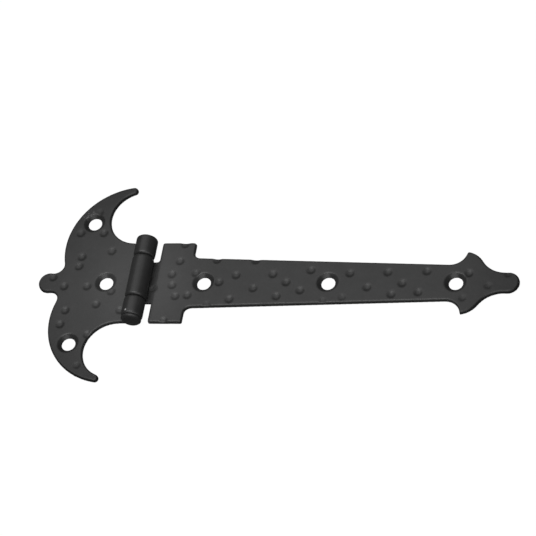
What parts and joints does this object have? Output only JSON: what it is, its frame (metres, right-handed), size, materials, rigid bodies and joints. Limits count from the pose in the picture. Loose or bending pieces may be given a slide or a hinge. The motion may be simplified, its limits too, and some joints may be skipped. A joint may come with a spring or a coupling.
{
  "type": "shutter hinge",
  "caption": "Ornamental strap hinge for a shutter: a crescent leaf and a tapering spade-tipped strap leaf of hammered sheet, joined by a headed pin.",
  "frame": {"origin": "on the mounting plane, under the middle of the pin's axis", "axes": "+X along the strap leaf to its tip, +Y along the pin away from its head, +Z out of the front faces, so both backs lie on z = 0 with the hinge flat"},
  "size_m": [0.2071, 0.096, 0.0092],
  "materials": {
    "black_coat": "satin black powder coat"
  },
  "bodies": {
    "frame_side": {"crescent_leaf": "black_coat", "hinge_pin": "black_coat"},
    "shutter_side": {"strap_leaf": "black_coat"}
  },
  "joints": [
    {"name": "leaf_swing", "type": "hinge", "parent": "frame_side", "child": "shutter_side", "pos_m": [0, 0, 0.0046], "axis": [0, -1, 0], "range_deg": [-90, 180]}
  ]
}
